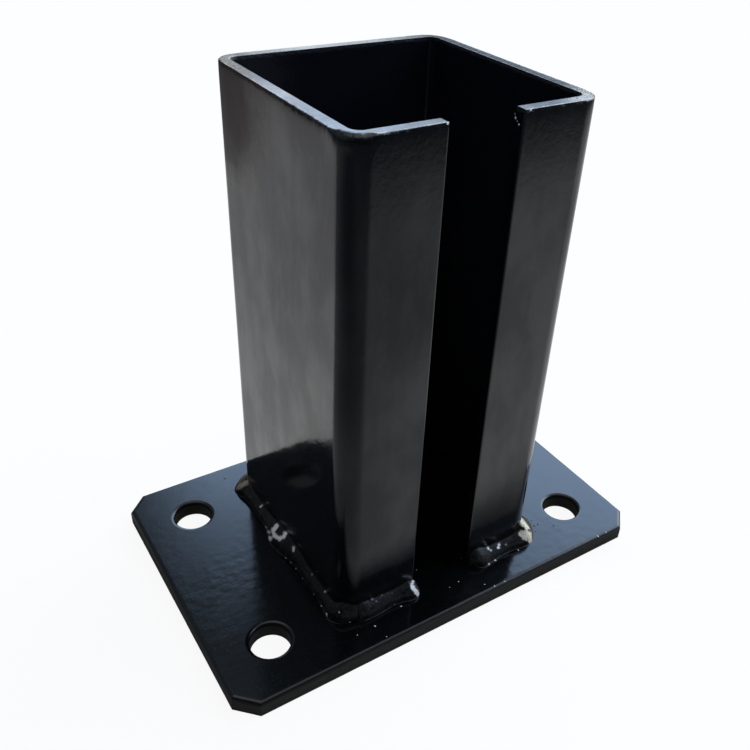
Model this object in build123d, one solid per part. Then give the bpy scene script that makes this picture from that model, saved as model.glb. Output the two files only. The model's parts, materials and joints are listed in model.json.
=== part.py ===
from build123d import *
import os
from math import atan, atan2, ceil, cos, degrees, hypot, pi, sin, sqrt

# Fence post base: a welded steel plate and a slotted sleeve for a square fence post.
# Millimetres. The origin is the middle of the plate's bottom face, +Z is up and the slot faces -Y.

# Base plate, which four anchors hold down
PLATE_LENGTH = 160.0
PLATE_WIDTH = 104.0
PLATE_THICKNESS = 6.0
CORNER_CUT = 6.5
TOP_EDGE_RADIUS = 1.3
BOTTOM_EDGE_BREAK = 0.4

# Holes for M12 anchors, with the rim broken on the top face
ANCHOR_HOLE_DIAMETER = 13.0
ANCHOR_SPACING_X = 122.0
ANCHOR_SPACING_Y = 65.0
HOLE_RIM_BREAK = 0.7

# Sleeve, folded from one sheet round the post
POST_SIZE = 68.0
POST_CLEARANCE = 1.0
SHEET_THICKNESS = 3.5
SLEEVE_HEIGHT = 159.0
BEND_INNER_RADIUS = 3.0
SLOT_WIDTH = 22.5
CUT_EDGE_RADIUS = 0.4

# Section of the fillet welds. The root is how far each bead runs into the steel before it is trimmed
WELD_WALL_LEG = 4.6
WELD_PLATE_LEG = 3.3
WELD_CROWN_HEIGHT = 0.55
WELD_ROOT_DEPTH = 0.8

# Ripples: each puddle of weld metal swells over most of its pitch and then drops to the next
PUDDLE_PITCH = 3.2
PUDDLE_SWELL_SHARE = 0.05
PUDDLE_CREST_SHARE = 0.7

# A free end of a bead is rounded over this length, which is shorter at the blunt end beside the slot,
# down to this share of its legs
WELD_END_LENGTH = 2.6
WELD_BLUNT_END = 1.0
WELD_TIP_SHARE = 0.35

# Where the beads start and stop, along the sleeve's foot
SLOT_OVERRUN = 1.2
SLOT_SETBACK = 1.1
SEAM_PAST_BEND = 1.0
BACK_CORNER_WRAP = 9.5
FRONT_CORNER_WRAP = 14.0
RIGHT_WALL_WELD = 50.0
BACK_WALL_WELD = 48.0

# Lumps of each bead: share of its length, then wall leg and plate leg as shares of the usual ones
LEFT_WALL_LUMPS = [
    (0.00, 0.98, 0.85), (0.05, 1.08, 1.10), (0.11, 0.93, 1.00), (0.22, 0.91, 0.91), (0.38, 1.20, 0.94),
    (0.45, 1.35, 1.18), (0.51, 1.30, 1.45), (0.56, 1.17, 1.64), (0.60, 1.00, 1.50), (0.67, 0.78, 1.03),
    (0.80, 0.91, 1.03), (0.86, 1.00, 1.10), (0.91, 1.05, 1.58), (1.00, 1.00, 1.50),
]
LEFT_LIP_LUMPS = [
    (0.00, 1.09, 1.10), (0.11, 1.22, 1.21), (0.28, 1.04, 0.80), (0.43, 1.00, 0.77), (0.61, 1.02, 0.91),
    (0.80, 1.04, 0.97), (0.91, 1.09, 1.03), (1.00, 0.90, 0.80),
]
RIGHT_LIP_LUMPS = [
    (0.00, 1.00, 1.15), (0.11, 1.13, 1.27), (0.20, 1.22, 1.33), (0.27, 1.00, 0.91), (0.39, 1.00, 0.82),
    (0.55, 1.04, 0.82), (0.67, 1.26, 1.15), (0.76, 1.43, 1.45), (0.85, 1.48, 1.52), (1.00, 1.30, 1.33),
]
RIGHT_WALL_LUMPS = [
    (0.00, 1.10, 1.15), (0.15, 1.00, 0.95), (0.38, 1.08, 1.12), (0.60, 0.95, 0.92), (0.85, 1.05, 1.05),
    (1.00, 1.12, 1.20),
]
BACK_WALL_LUMPS = [
    (0.00, 1.12, 1.18), (0.20, 0.96, 1.00), (0.45, 1.02, 0.94), (0.66, 1.12, 1.15), (0.86, 0.98, 0.98),
    (1.00, 1.08, 1.15),
]

# Sizes that follow from the ones above
POCKET = POST_SIZE + 2 * POST_CLEARANCE
SLEEVE_OUTSIDE = POCKET + 2 * SHEET_THICKNESS
HALF_OUTSIDE = SLEEVE_OUTSIDE / 2
BEND_OUTER_RADIUS = BEND_INNER_RADIUS + SHEET_THICKNESS
WALL_RUN = SLEEVE_OUTSIDE - 2 * BEND_OUTER_RADIUS
BEND_RUN = BEND_OUTER_RADIUS * pi / 2
SLEEVE_TURN = WALL_RUN + BEND_RUN


def make_plate():
    """Flat plate with its corners cut off, four anchor holes, and a soft top edge."""
    blank = Rectangle(PLATE_LENGTH, PLATE_WIDTH)
    blank = chamfer(blank.vertices(), CORNER_CUT)
    plate = extrude(blank, PLATE_THICKNESS)
    plate = fillet(plate.edges().group_by(Axis.Z)[-1], TOP_EDGE_RADIUS)
    plate = chamfer(plate.edges().group_by(Axis.Z)[0], BOTTOM_EDGE_BREAK)
    hole = extrude(Circle(ANCHOR_HOLE_DIAMETER / 2), PLATE_THICKNESS)
    plate -= GridLocations(ANCHOR_SPACING_X, ANCHOR_SPACING_Y, 2, 2) * hole
    rims = plate.edges().filter_by(GeomType.CIRCLE).group_by(Axis.Z)[-1]
    return chamfer(rims, HOLE_RIM_BREAK)


def make_sleeve():
    """Sheet folded at four bends, whose two lips leave a slot open from top to bottom."""
    lip_end = SLOT_WIDTH / 2
    corners = [
        (-lip_end, -HALF_OUTSIDE),
        (-HALF_OUTSIDE, -HALF_OUTSIDE),
        (-HALF_OUTSIDE, HALF_OUTSIDE),
        (HALF_OUTSIDE, HALF_OUTSIDE),
        (HALF_OUTSIDE, -HALF_OUTSIDE),
        (lip_end, -HALF_OUTSIDE),
    ]
    skin = FilletPolyline(*corners, radius=BEND_OUTER_RADIUS)
    profile = make_face(offset(skin, SHEET_THICKNESS, side=Side.RIGHT))
    sleeve = extrude(Pos(Z=PLATE_THICKNESS) * profile, SLEEVE_HEIGHT)
    rim = sleeve.edges().group_by(Axis.Z)[-1]
    upright = sleeve.edges().filter_by(Axis.Z)
    slot_edges = upright.filter_by_position(Axis.X, -lip_end, lip_end)
    return fillet(rim + slot_edges, CUT_EDGE_RADIUS)


def foot_plane(distance):
    """Plane across the sleeve's foot at a distance round it from the middle of the front.

    Distances grow clockwise as seen from above, and less than nothing is the right-hand side.
    The plane's X points out of the wall, and its Y points up.
    """
    walls, along = divmod(distance + WALL_RUN / 2, SLEEVE_TURN)
    angle = max(0.0, along - WALL_RUN) / BEND_OUTER_RADIUS
    x = WALL_RUN / 2 - min(along, WALL_RUN) - BEND_OUTER_RADIUS * sin(angle)
    y = BEND_OUTER_RADIUS * (1 - cos(angle)) - HALF_OUTSIDE
    front = Plane(
        origin=(x, y, PLATE_THICKNESS),
        x_dir=(-sin(angle), -cos(angle), 0),
        z_dir=(-cos(angle), sin(angle), 0),
    )
    return Plane(Rot(Z=-90 * walls) * front.location)


def bead_section(plane, wall_leg, plate_leg):
    """Crowned section of a bead, whose arc runs on into the wall and the plate to be trimmed."""
    chord = hypot(wall_leg, plate_leg)
    half_sweep = 2 * atan(2 * WELD_CROWN_HEIGHT / chord)
    radius = chord / (2 * sin(half_sweep))
    facing = atan2(plate_leg, wall_leg)
    drop = radius * cos(half_sweep)
    centre = (plate_leg / 2 - drop * cos(facing), wall_leg / 2 - drop * sin(facing))
    sweep = half_sweep + WELD_ROOT_DEPTH / radius
    face = CenterArc(centre, radius, degrees(facing - sweep), degrees(2 * sweep))
    root = Polyline(face @ 1, ((face @ 1).X, (face @ 0).Y), face @ 0)
    return plane * make_face([face, root])


def lump_at(lumps, share):
    """Wall leg and plate leg between two lumps, as shares of the usual legs."""
    for here, there in zip(lumps, lumps[1:]):
        if share <= there[0]:
            blend = (1 - cos(pi * (share - here[0]) / (there[0] - here[0]))) / 2
            return [a + (b - a) * blend for a, b in zip(here[1:], there[1:])]
    return lumps[-1][1:]


def end_taper(from_end, end_length):
    """Share of the legs left this near to a rounded end. A length of nothing is a square end."""
    if from_end >= end_length:
        return 1.0
    round_share = sqrt(1 - (1 - from_end / end_length) ** 2)
    return WELD_TIP_SHARE + (1 - WELD_TIP_SHARE) * round_share


def make_bead(start, end, lumps, start_length=WELD_END_LENGTH, end_length=WELD_END_LENGTH):
    """Rippled fillet bead round the sleeve's foot, trimmed to meet the wall and the plate."""
    length = abs(end - start)
    puddles = ceil(length / PUDDLE_PITCH)
    sections = []
    for puddle in range(puddles):
        for rise in (0.0, PUDDLE_CREST_SHARE):
            sections.append(((puddle + rise) / puddles, rise > 0))
    sections.append((1.0, False))
    faces = []
    for share, crest in sections:
        wall_share, plate_share = lump_at(lumps, share)
        size = end_taper(share * length, start_length) * end_taper((1 - share) * length, end_length)
        size *= 1 + PUDDLE_SWELL_SHARE if crest else 1 - PUDDLE_SWELL_SHARE
        plane = foot_plane(start + (end - start) * share)
        wall_leg = WELD_WALL_LEG * wall_share * size
        plate_leg = WELD_PLATE_LEG * plate_share * size
        faces.append(bead_section(plane, wall_leg, plate_leg))
    bead = loft(faces, ruled=True)
    sleeve_block = extrude(
        Pos(Z=PLATE_THICKNESS) * RectangleRounded(SLEEVE_OUTSIDE, SLEEVE_OUTSIDE, BEND_OUTER_RADIUS),
        SLEEVE_HEIGHT,
    )
    plate_block = Pos(Z=PLATE_THICKNESS / 2) * Box(PLATE_LENGTH, PLATE_WIDTH, PLATE_THICKNESS)
    return bead - sleeve_block - plate_block


def make_beads():
    """One bead for each run of weld, by the name of the wall or lip that it joins to the plate."""
    slot_edge = SLOT_WIDTH / 2
    bend_start = WALL_RUN / 2
    seam = bend_start + SEAM_PAST_BEND
    back_left_bend = bend_start + SLEEVE_TURN
    right_middle = -SLEEVE_TURN
    back_middle = 2 * SLEEVE_TURN
    return {
        "weld_left_wall": make_bead(
            seam, back_left_bend + BACK_CORNER_WRAP, LEFT_WALL_LUMPS, start_length=0
        ),
        "weld_left_lip": make_bead(
            slot_edge - SLOT_OVERRUN, seam, LEFT_LIP_LUMPS, start_length=WELD_BLUNT_END, end_length=0
        ),
        "weld_right_lip": make_bead(
            -slot_edge - SLOT_SETBACK, -bend_start - FRONT_CORNER_WRAP, RIGHT_LIP_LUMPS
        ),
        "weld_right_wall": make_bead(
            right_middle + RIGHT_WALL_WELD / 2, right_middle - RIGHT_WALL_WELD / 2, RIGHT_WALL_LUMPS
        ),
        "weld_back_wall": make_bead(
            back_middle - BACK_WALL_WELD / 2, back_middle + BACK_WALL_WELD / 2, BACK_WALL_LUMPS
        ),
    }


nodes = {"base_plate": make_plate(), "post_channel": make_sleeve(), **make_beads()}
os.makedirs("parts", exist_ok=True)
for name, solid in nodes.items():
    export_step(solid, f"parts/{name}.step")
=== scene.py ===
import json
import random
from functools import partial
from math import cos, hypot, pi, radians, sin, sqrt

import bmesh
import bpy
import numpy as np
from mathutils import Matrix, Vector, noise
from mathutils.bvhtree import BVHTree
from mathutils.geometry import intersect_line_line_2d


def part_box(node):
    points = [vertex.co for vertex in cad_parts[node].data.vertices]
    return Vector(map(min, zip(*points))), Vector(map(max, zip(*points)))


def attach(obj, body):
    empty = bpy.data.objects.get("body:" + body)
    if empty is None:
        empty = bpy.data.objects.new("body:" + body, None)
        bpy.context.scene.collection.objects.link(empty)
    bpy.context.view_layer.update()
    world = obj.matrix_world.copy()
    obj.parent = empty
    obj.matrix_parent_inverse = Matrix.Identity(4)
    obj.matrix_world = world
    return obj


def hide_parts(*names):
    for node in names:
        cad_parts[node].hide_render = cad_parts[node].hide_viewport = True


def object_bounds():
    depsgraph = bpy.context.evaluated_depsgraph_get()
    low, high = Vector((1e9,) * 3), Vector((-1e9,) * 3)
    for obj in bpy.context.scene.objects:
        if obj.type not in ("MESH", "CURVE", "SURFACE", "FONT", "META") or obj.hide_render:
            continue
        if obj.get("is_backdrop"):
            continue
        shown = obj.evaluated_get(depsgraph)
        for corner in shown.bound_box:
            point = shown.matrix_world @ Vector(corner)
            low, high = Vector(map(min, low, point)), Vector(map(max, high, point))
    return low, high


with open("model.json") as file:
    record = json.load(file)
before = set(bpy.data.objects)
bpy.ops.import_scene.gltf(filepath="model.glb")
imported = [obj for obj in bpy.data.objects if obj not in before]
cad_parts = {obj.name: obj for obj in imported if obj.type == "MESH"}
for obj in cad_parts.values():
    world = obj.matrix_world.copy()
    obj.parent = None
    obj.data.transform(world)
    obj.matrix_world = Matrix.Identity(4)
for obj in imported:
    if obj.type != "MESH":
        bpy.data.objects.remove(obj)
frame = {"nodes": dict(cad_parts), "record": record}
cad_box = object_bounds()

# Fence post base in gloss black paint: a slotted sleeve welded to a plate. Metres, +Z up, slot towards -Y
MM = 0.001
SEED = 7
plate_low, plate_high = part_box("base_plate")
sleeve_low, sleeve_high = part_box("post_channel")

# Plate
CORNER_CUT = 6.5 * MM
PLATE_EDGE_RADIUS = 1.3 * MM
PLATE_FOOT_BREAK = 0.4 * MM
HOLE_RIM_RADIUS = 1.2 * MM
HOLE_FOOT_BREAK = 0.3 * MM
HOLE_PATTERN = next(mount for mount in frame["record"]["mounts"] if mount["kind"] == "bolt_pattern")["dims"]
HOLE_RADIUS = HOLE_PATTERN["hole_r_mm"] * MM
HOLE_PLACES = [
    (side * HOLE_PATTERN["spacing_x_mm"] / 2 * MM, end * HOLE_PATTERN["spacing_y_mm"] / 2 * MM)
    for side in (-1, 1)
    for end in (-1, 1)
]

# Sleeve
SHEET = 3.5 * MM
BEND_RADIUS = 6.5 * MM
SLOT_WIDTH = 22.5 * MM
CUT_EDGE_RADIUS = 0.4 * MM

# Camera, at the photograph's viewing angle. The photograph is square
CAMERA_PLACE = Vector((-129.04, -193.95, 225.34)) * MM
CAMERA_HEADING = radians(-34.313)
CAMERA_TILT = radians(-34.239)
CAMERA_ROLL = radians(3.076)
CAMERA_LENS = 40.432
CAMERA_SENSOR = 36.0
CAMERA_SHIFT = (-0.02663, 0.0031)
PHOTO_SIZE = 750


class Value:
    """A number or colour that varies over a surface, so that shader maths reads as ordinary sums."""

    def __init__(self, finish, socket):
        self.finish = finish
        self.socket = socket

    def math(self, operation, first, second):
        return self.finish.add("Math", {"operation": operation}, {0: first, 1: second})

    def __add__(self, other):
        return self.math("ADD", self, other)

    def __sub__(self, other):
        return self.math("SUBTRACT", self, other)

    def __rsub__(self, other):
        return self.math("SUBTRACT", other, self)

    def __mul__(self, other):
        return self.math("MULTIPLY", self, other)

    def __truediv__(self, other):
        return self.math("DIVIDE", self, other)

    def __pow__(self, other):
        return self.math("POWER", self, other)

    __radd__ = __add__
    __rmul__ = __mul__

    def between(self, low, high):
        """0 at low and 1 at high, with a smooth step from one to the other."""
        settings = {"interpolation_type": "SMOOTHSTEP"}
        return self.finish.add("MapRange", settings, {"Value": self, "From Min": low, "From Max": high})


class Finish:
    """A material or the room's light. add() makes any node: its type, its settings, then its sockets."""

    def __init__(self, owner, place="Object"):
        owner.use_nodes = True
        self.owner = owner
        self.tree = owner.node_tree
        self.tree.nodes.clear()
        self.place = self.add("TexCoord", output=place)

    def add(self, kind, settings=None, sockets=None, output=0):
        node = self.tree.nodes.new("ShaderNode" + kind)
        for name, setting in (settings or {}).items():
            setattr(node, name, setting)
        for name, value in (sockets or {}).items():
            if isinstance(value, Value):
                self.tree.links.new(value.socket, node.inputs[name])
            else:
                node.inputs[name].default_value = value
        return Value(self, node.outputs[output]) if node.outputs else None

    def mix(self, share, first, second):
        """Colour between two colours."""
        return self.add("Mix", {"data_type": "RGBA"}, {0: share, 6: first, 7: second}, output=2)

    def grain(self, size, detail=2.0, roughness=0.5, stretch=(1, 1, 1)):
        """Noise whose lumps are about this size, and longer along an axis that is stretched."""
        scale = [1 / (size * share) for share in stretch]
        place = self.add("Mapping", {}, {"Vector": self.place, "Scale": scale})
        sockets = {"Vector": place, "Scale": 1, "Detail": detail, "Roughness": roughness}
        return self.add("TexNoise", {}, sockets)

    def measure(self, operation, other):
        sockets = {0: self.place, 1: other}
        return self.add("VectorMath", {"operation": operation}, sockets, output="Value")

    def along(self, direction):
        """Place on the object, or direction in the room, measured along a direction."""
        return self.measure("DOT_PRODUCT", direction)

    def away_from(self, place):
        """How far each point lies from a place."""
        return self.measure("DISTANCE", place)

    def painted_on(self, name):
        """A number that the mesh carries at each of its points."""
        return self.add("Attribute", {"attribute_name": name}, output="Fac")

    def bump(self, height, distance, under=None):
        sockets = {"Strength": 1, "Distance": distance, "Height": height}
        if under:
            sockets["Normal"] = under
        return self.add("Bump", {}, sockets)

    def close(self, shader_sockets):
        """Joins a surface with these sockets to the material's output."""
        surface = self.add("BsdfPrincipled", {}, shader_sockets)
        self.add("OutputMaterial", {}, {"Surface": surface})
        return self.owner


def gray(level):
    return (level, level, level, 1)


def new_finish(name):
    return Finish(bpy.data.materials.new(name))


# Finishes

PAINT_COLOR = (0.0017, 0.0021, 0.0026, 1)
INNER_COLOR = (0.0075, 0.0085, 0.0120, 1)
DUST_COLOR = (0.0030, 0.0031, 0.0031, 1)
SIDE_REFLECTION_COLOR = (0.0270, 0.0230, 0.0150, 1)
BROWN_PATCH_COLOR = (0.0280, 0.0112, 0.0075, 1)
WELD_COLOR = (0.0030, 0.0030, 0.0029, 1)
SOOT_COLOR = (0.0200, 0.0188, 0.0165, 1)
WORN_COLOR = (0.84, 0.71, 0.53, 1)
CHIP_AND_HIGHLIGHT_DARK = (0.66, 0.65, 0.63, 1)
CHIP_AND_HIGHLIGHT_COLOR = (0.98, 0.93, 0.86, 1)
CREAM_DARK = (0.42, 0.33, 0.22, 1)
CREAM_COLOR = (0.80, 0.68, 0.49, 1)
BRONZE_HIGHLIGHT_DARK = (0.060, 0.042, 0.024, 1)
BRONZE_HIGHLIGHT_COLOR = (0.46, 0.37, 0.26, 1)
DROP_METAL_AND_HIGHLIGHT_DARK = (0.60, 0.60, 0.58, 1)
DROP_METAL_AND_HIGHLIGHT_COLOR = (0.90, 0.90, 0.88, 1)

# Depth of the relief in each finish
PEEL_DEPTH = 0.026 * MM
SAW_MARK_DEPTH = 0.045 * MM
CURL_DEPTH = 0.38 * MM
WRINKLE_DEPTH = 0.022 * MM
WELD_LUMP_DEPTH = 0.13 * MM
DROP_LUMP_DEPTH = 0.05 * MM

# Where a finish changes. Each pair says where the change starts and where it ends
UP = (0, 0, 1)
BROWN_PATCH_PLACE = (-38.5 * MM, 28 * MM, 156 * MM)
BROWN_PATCH_EDGE = (16 * MM, 42 * MM)
BROWN_PATCH_RAGGEDNESS = 16 * MM
PAINTED_SHADE_FOOT_TOP = (11 * MM, 24 * MM)
PLATE_SIDE_TOP = (4.3 * MM, 5.2 * MM)
PLATE_ROUNDING = (5.75 * MM, 5.98 * MM)
PLATE_FRONT_WAY = (-0.4, -1, 0)
PLATE_FRONT = (-10 * MM, 40 * MM)
START_BLOB_LEFT = (13 * MM, 15 * MM)
START_BLOB_RIGHT = (21 * MM, 26 * MM)
CREAM_CHIPS = (30 * MM, 38 * MM)
BACK_LEFT_WAY = (-0.7, 0.7, 0)
BRONZE_HIGHLIGHT_REACH = (46.5 * MM, 48.5 * MM)


def sleeve_paint():
    """Gloss black over folded sheet: fine orange peel, soft runs down the walls, a little dust, and painted
    shade near the foot, where the dust colour is left off.
    """
    finish = new_finish("sleeve_paint")
    peel = finish.grain(1.5 * MM, detail=1)
    sags = finish.grain(6 * MM, detail=1, stretch=(1, 1, 3))
    nibs = finish.grain(0.5 * MM, detail=0).between(0.72, 0.8)
    saw_marks = finish.grain(0.4 * MM, detail=3, roughness=0.7)
    cut_edge = finish.painted_on("cut_edge")
    curl = finish.painted_on("curl")
    normal = finish.bump(peel + sags * 2.0 + nibs * 0.7, PEEL_DEPTH)
    normal = finish.bump(saw_marks * cut_edge, SAW_MARK_DEPTH, normal)
    normal = finish.bump((1 - curl) * (1 - cut_edge), CURL_DEPTH, normal)
    dust = finish.grain(16 * MM, detail=4, roughness=0.62, stretch=(1, 1, 2.5)).between(0.42, 0.72)
    blotches = finish.grain(15 * MM, detail=3, roughness=0.55, stretch=(1, 1, 1.5))
    streaks = finish.grain(5 * MM, detail=2, stretch=(1, 1, 7))
    sheen = (blotches * 0.8 + streaks * 0.2).between(0.38, 0.62)
    # Brownish, rougher patch with a ragged edge high on the left wall, with no coat
    ragged = finish.grain(7 * MM, detail=4, roughness=0.6) * BROWN_PATCH_RAGGEDNESS
    brown_patch = 1 - (finish.away_from(BROWN_PATCH_PLACE) + ragged).between(*BROWN_PATCH_EDGE)
    # Painted shade: near the foot the dust colour is left off, so the walls are darker there, and rougher
    # with no coat
    foot = 1 - finish.along(UP).between(*PAINTED_SHADE_FOOT_TOP)
    flecks = finish.grain(0.35 * MM, detail=2).between(0.38, 0.56) * finish.painted_on("chips_and_highlights")
    color = finish.mix(dust * (1 - foot), PAINT_COLOR, DUST_COLOR)
    color = finish.mix(brown_patch, color, BROWN_PATCH_COLOR)
    color = finish.mix(finish.painted_on("inner_skin"), color, INNER_COLOR)
    return finish.close({
        "Base Color": finish.mix(flecks, color, WORN_COLOR),
        "Roughness": 0.09 + dust * 0.06 + cut_edge * 0.06 + flecks * 0.3 + brown_patch * 0.4 + foot * 0.20,
        "Specular IOR Level": 0.38,
        "Coat Weight": sheen * 0.26 * (1 - brown_patch) * (1 - foot),
        "Coat Roughness": 0.08,
        "Normal": normal,
    })


def plate_paint():
    """Gloss black over flat plate, wrinkled where it lay thick and most in front, with pitted sides in a
    paler olive that is a painted reflection of the floor.
    """
    finish = new_finish("plate_paint")
    peel = finish.grain(1.2 * MM, detail=1)
    wrinkles = finish.grain(2.9 * MM, detail=1.5, roughness=0.35, stretch=(1.25, 1, 1))
    thick = finish.grain(22 * MM, detail=1).between(0.4, 0.6)
    front = finish.along(PLATE_FRONT_WAY).between(*PLATE_FRONT)
    nibs = finish.grain(0.6 * MM, detail=0).between(0.74, 0.8)
    relief = peel * 0.25 + wrinkles * (0.45 + front * 1.6) * (0.5 + thick * 0.8) + nibs * 0.5
    dust = finish.grain(14 * MM, detail=4, roughness=0.62).between(0.45, 0.74)
    height = finish.along(UP)
    # Paler, olive sides: painted reflection of the floor in them. Their pits are real relief
    side = 1 - height.between(*PLATE_SIDE_TOP)
    rounded = 1 - height.between(*PLATE_ROUNDING)
    pits = finish.grain(1.1 * MM, detail=3, roughness=0.6)
    return finish.close({
        "Base Color": finish.mix(side, finish.mix(dust, PAINT_COLOR, DUST_COLOR), SIDE_REFLECTION_COLOR),
        "Roughness": 0.12 + dust * 0.05 + rounded * 0.18,
        "Specular IOR Level": 0.45,
        "Normal": finish.bump(relief + pits * side * 4, WRINKLE_DEPTH),
    })


def weld_paint():
    """Gloss black over sooty weld metal, gone from the chips, cream on the right, with pale painted
    highlights on the beads and a bronze painted highlight at the back left.
    """
    finish = new_finish("weld_paint")
    lumps = finish.grain(0.8 * MM, detail=2)
    soot = finish.grain(0.7 * MM, detail=3, roughness=0.65).between(0.38, 0.66)
    # Bare chips, and pale and bronze painted highlights, as the bead meshes carry them
    chips_and_highlights = finish.painted_on("chips_and_highlights")
    flecks = finish.grain(0.45 * MM, detail=2).between(0.3, 0.55)
    to_right = finish.along((1, 0, 0))
    start_blob = to_right.between(*START_BLOB_LEFT) * (1 - to_right.between(*START_BLOB_RIGHT))
    cream = finish.mix(flecks, CREAM_DARK, CREAM_COLOR)
    # Painted highlight in bronze at the back left
    bronze = finish.mix(flecks, BRONZE_HIGHLIGHT_DARK, BRONZE_HIGHLIGHT_COLOR)
    chip = finish.mix(flecks, CHIP_AND_HIGHLIGHT_DARK, CHIP_AND_HIGHLIGHT_COLOR)
    chip = finish.mix(to_right.between(*CREAM_CHIPS), chip, cream)
    chip = finish.mix(finish.along(BACK_LEFT_WAY).between(*BRONZE_HIGHLIGHT_REACH), chip, bronze)
    return finish.close({
        "Base Color": finish.mix(chips_and_highlights, finish.mix(soot, WELD_COLOR, SOOT_COLOR), chip),
        "Roughness": 0.24 + lumps * 0.16 + start_blob * 0.1 + chips_and_highlights * 0.3,
        "Specular IOR Level": 0.22,
        "Normal": finish.bump(lumps, WELD_LUMP_DEPTH),
    })


def spatter_metal_and_highlights():
    """Small drops of weld metal that lost their paint, pale also as painted highlights where they stand for
    glints.
    """
    finish = new_finish("spatter_metal_and_highlights")
    lumps = finish.grain(0.3 * MM, detail=2)
    return finish.close({
        "Base Color": finish.mix(lumps.between(0.3, 0.7), DROP_METAL_AND_HIGHLIGHT_DARK, DROP_METAL_AND_HIGHLIGHT_COLOR),
        "Roughness": 0.35 + lumps * 0.1,
        "Normal": finish.bump(lumps, DROP_LUMP_DEPTH),
    })


# Meshes

def new_piece(name, mesh, finish, replaced=None):
    """A piece of the object: smooth, riding on the only body, and standing for its CAD node."""
    for polygon in mesh.polygons:
        polygon.use_smooth = True
    mesh.materials.clear()
    mesh.materials.append(finish)
    piece = bpy.data.objects.new(name, mesh)
    bpy.context.scene.collection.objects.link(piece)
    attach(piece, "root")
    if replaced:
        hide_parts(replaced)
    return piece


def new_mesh(name, points, faces, carried=None):
    """A mesh. Its points carry numbers, by name, for a finish to read."""
    mesh = bpy.data.meshes.new(name)
    mesh.from_pydata(points, [], faces)
    for kind, numbers in (carried or {}).items():
        carrier = mesh.attributes.new(kind, "FLOAT", "POINT")
        carrier.data.foreach_set("value", np.asarray(numbers, np.float32))
    return mesh


def points_of(mesh):
    points = np.zeros(len(mesh.vertices) * 3)
    mesh.vertices.foreach_get("co", points)
    return points.reshape(-1, 3)


def rough(place, size, seed=0.0):
    """Smooth noise from about -1 to 1 at a place, with lumps of this size."""
    return noise.noise(Vector(place) / size + Vector((seed, 3.1 * seed, 7.7 * seed)))


def rough_along(places, size, seed):
    """The same noise at each of many places."""
    return np.array([rough(place, size, seed) for place in places])


def ramp(number, start, stop):
    """0 at start and 1 at stop, in a straight line from one to the other. Stop may be the smaller."""
    return np.clip((number - start) / (stop - start), 0, 1)


def smoothed(rows, reach):
    """Each row's mean with the rows up to this many places away."""
    padded = np.pad(rows, ((reach, reach), (0, 0)), mode="edge")
    return sum(padded[start:start + len(rows)] for start in range(2 * reach + 1)) / (2 * reach + 1)


def join_loops(faces, lower, upper):
    """Faces between two closed loops of points, with the outside to the right of the loops' way."""
    count = len(lower)
    for here in range(count):
        there = (here + 1) % count
        faces.append((lower[here], upper[here], upper[there], lower[there]))


# Sleeve

STATION_STEP = 0.36 * MM
WALL_ROWS = 14
TOP_BAND = 9 * MM
TOP_BAND_ROWS = 18
ROUNDING_STEPS = 8
CUT_FACE_ROWS = 9
CORNER_STEPS = 3
WALL_WAVE = 0.05 * MM
WALL_WAVE_LENGTH = 26 * MM

# Edges of the sawn rim, and how much their burrs and nicks add to the radius
RIM_EDGE_RADIUS = 0.11 * MM
BURR_SHARE = 0.55
NICK_SHARE = 5.0
# The front left fold's outer edge is worn round over this reach, and that of the other folds less
FOLD_REACH = 2.5 * MM
FOLD_RADIUS = 1.55 * MM
OTHER_FOLD_SHARE = 0.2
# The walls lean in below the rim by this much, and more, over a greater height, at the folds
LEAN = 0.04 * MM
FOLD_LEAN = 0.14 * MM
OTHER_FOLD_LEAN_SHARE = 0.3
LEAN_POWER = 14
FOLD_LEAN_POWER = 5
# The paint curls in under the rim, over this height, and less near the front left fold
CURL_HEIGHT = 1.0 * MM
CURL_LEAST_SHARE = 0.35
CURL_SHORTER = (4 * MM, 10 * MM)
# The rim slopes down to its outer edge on the right, and less on the right lip
RIM_SLOPE = 0.10 * MM
RIGHT_LIP_SLOPE_SHARE = 0.45
# Along the front of the left wall and the left lip it was sheared: steeper, with a worn and toothed edge
SHEARED_SLOPE = 0.30 * MM
SHEARED_FROM_BACK = (12 * MM, -28 * MM)
SHEARED_FROM_RIGHT = (-14 * MM, -34 * MM)
WORN_RADIUS = 0.55 * MM
# Paint is gone near two corners of the rim, and from the inner edge of the one at the back left
BARE_CORNER = (11 * MM, 5 * MM)
SCUFFED_CORNER = (30 * MM, 12 * MM)
INNER_CHIP = (5.5 * MM, 3 * MM)


def sheet_stations(spacing, lip):
    """Places round the sleeve's outer skin from lip to lip: place, outward direction, nearness to a bend."""
    straight = sleeve_high.x - BEND_RADIUS
    bend_steps = round(BEND_RADIUS * pi / 2 / spacing)
    facing = Vector((0, -1, 0))
    stations = []

    def nearness(along):
        gap = straight - abs(along)
        return max(0.0, 1 - gap / FOLD_REACH) ** 2

    for start, stop in ((lip, straight), *[(-straight, straight)] * 3, (-straight, -lip)):
        onward = Vector((-facing.y, facing.x, 0))
        steps = round((stop - start) / spacing)
        for step in range(steps):
            along = start + (stop - start) * step / steps
            stations.append((facing * sleeve_high.x + onward * along, facing, nearness(along)))
        if stop > 0:
            for step in range(bend_steps):
                turn = pi / 2 * step / bend_steps
                outward = facing * cos(turn) + onward * sin(turn)
                stations.append(((facing + onward) * straight + outward * BEND_RADIUS, outward, 1.0))
            facing = onward
    stations.append((facing * sleeve_high.x - Vector((-facing.y, facing.x, 0)) * lip, facing, 0.0))
    return stations


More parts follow.
